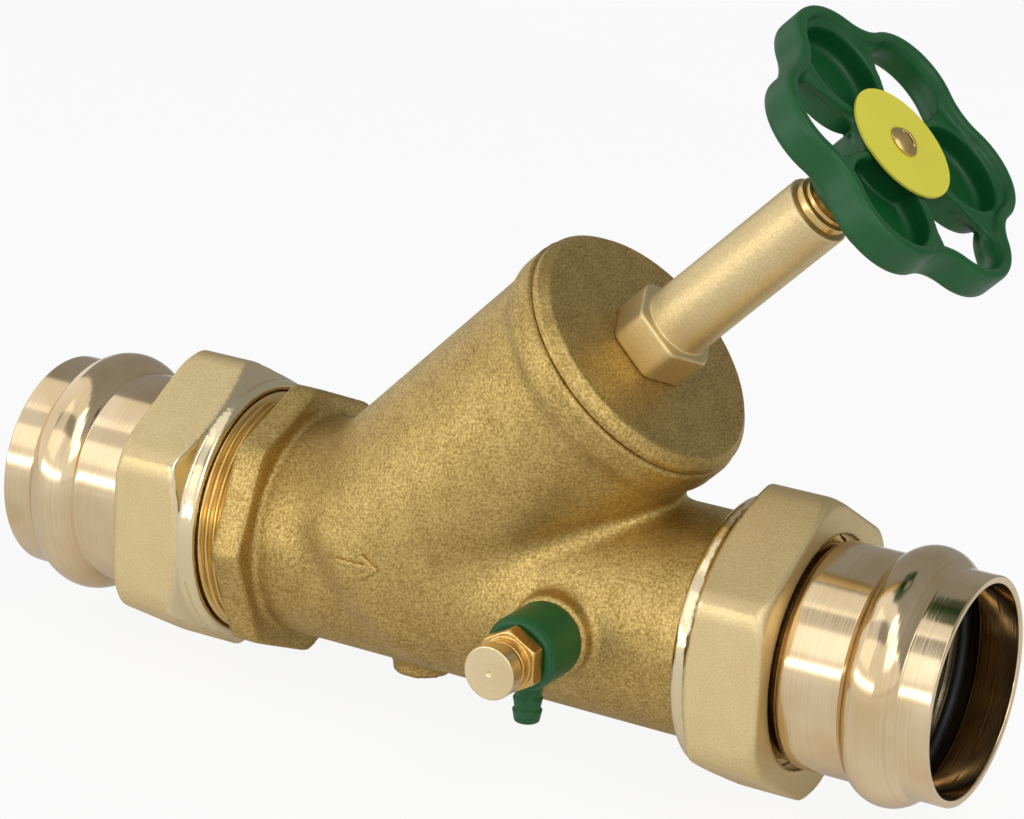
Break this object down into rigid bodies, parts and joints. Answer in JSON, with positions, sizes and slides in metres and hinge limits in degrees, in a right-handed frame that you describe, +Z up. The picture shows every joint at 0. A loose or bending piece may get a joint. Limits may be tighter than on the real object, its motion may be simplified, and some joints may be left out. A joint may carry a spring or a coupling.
{
  "type": "oblique-seat stop valve",
  "caption": "Brass oblique-seat stop valve for a 54 mm pipe line, with a green lobed handwheel on a non-rising stem, union nuts with press sockets and a drain cock with a hose tail.",
  "frame": {"origin": "centre of the inlet socket's mouth", "axes": "+X along the pipe with the flow, +Z up on the side of the bonnet, drain cock on the -Y side"},
  "size_m": [0.274, 0.0999, 0.2027],
  "materials": {
    "cast_brass": "sand-cast and shot-blasted, fine matt grain",
    "turned_brass": "turned, satin",
    "gunmetal": "drawn and polished, pinkish",
    "green_plastic": "moulded, semi-gloss",
    "yellow_plastic": "moulded, matt",
    "black_rubber": "moulded rubber, matt",
    "white_ptfe": "machined, matt"
  },
  "bodies": {
    "valve": {"valve_body": "cast_brass", "bonnet_cover": "cast_brass", "bonnet_o_ring": "black_rubber", "guide_o_ring": "black_rubber", "headwork": "cast_brass", "stem_retainer": "turned_brass", "stem_thrust_washer": "white_ptfe", "gland_bush": "turned_brass", "drain_body": "turned_brass", "drain_gasket": "black_rubber", "spout_o_rings": "black_rubber", "union_gasket_inlet": "black_rubber", "press_tail_inlet": "gunmetal", "press_seal_inlet": "black_rubber", "union_nut_inlet": "cast_brass", "union_gasket_outlet": "black_rubber", "press_tail_outlet": "gunmetal", "press_seal_outlet": "black_rubber", "union_nut_outlet": "cast_brass"},
    "wheel": {"handwheel": "green_plastic", "wheel_disc": "yellow_plastic", "wheel_screw": "turned_brass", "stem": "turned_brass", "stem_o_rings": "black_rubber", "stem_clip": "turned_brass"},
    "plug": {"plug_carrier": "turned_brass", "valve_plug": "turned_brass", "plug_seal": "white_ptfe", "seal_retainer": "turned_brass", "plug_nut": "turned_brass"},
    "spout": {"drain_spout": "green_plastic"},
    "drain_seal": {"drain_washer": "black_rubber"},
    "drain_spindle": {"drain_spindle": "turned_brass", "drain_spindle_o_ring": "black_rubber"}
  },
  "joints": [
    {"name": "wheel_turn", "type": "hinge", "parent": "valve", "child": "wheel", "pos_m": [0.1095, 0, 0], "axis": [0.7071, 0, 0.7071], "range_deg": [0, 2160]},
    {"name": "plug_lift", "type": "slide", "parent": "valve", "child": "plug", "axis": [0.7071, 0, 0.7071], "range_m": [0, 0.024]},
    {"name": "spout_swivel", "type": "hinge", "parent": "valve", "child": "spout", "pos_m": [0.1727, -0.0417, 0], "axis": [0, -1, 0], "continuous": true},
    {"name": "drain_lift", "type": "slide", "parent": "valve", "child": "drain_seal", "axis": [0, -1, 0], "range_m": [0, 0.003]},
    {"name": "drain_turn", "type": "hinge", "parent": "drain_seal", "child": "drain_spindle", "pos_m": [0.1727, -0.05, 0], "axis": [0, -1, 0], "range_deg": [0, 1080]}
  ],
  "couplings": [
    {"joint": "wheel_turn", "follows": "plug_lift", "rad_per_m": 1570.8},
    {"joint": "drain_turn", "follows": "drain_lift", "rad_per_m": 6283.2}
  ]
}
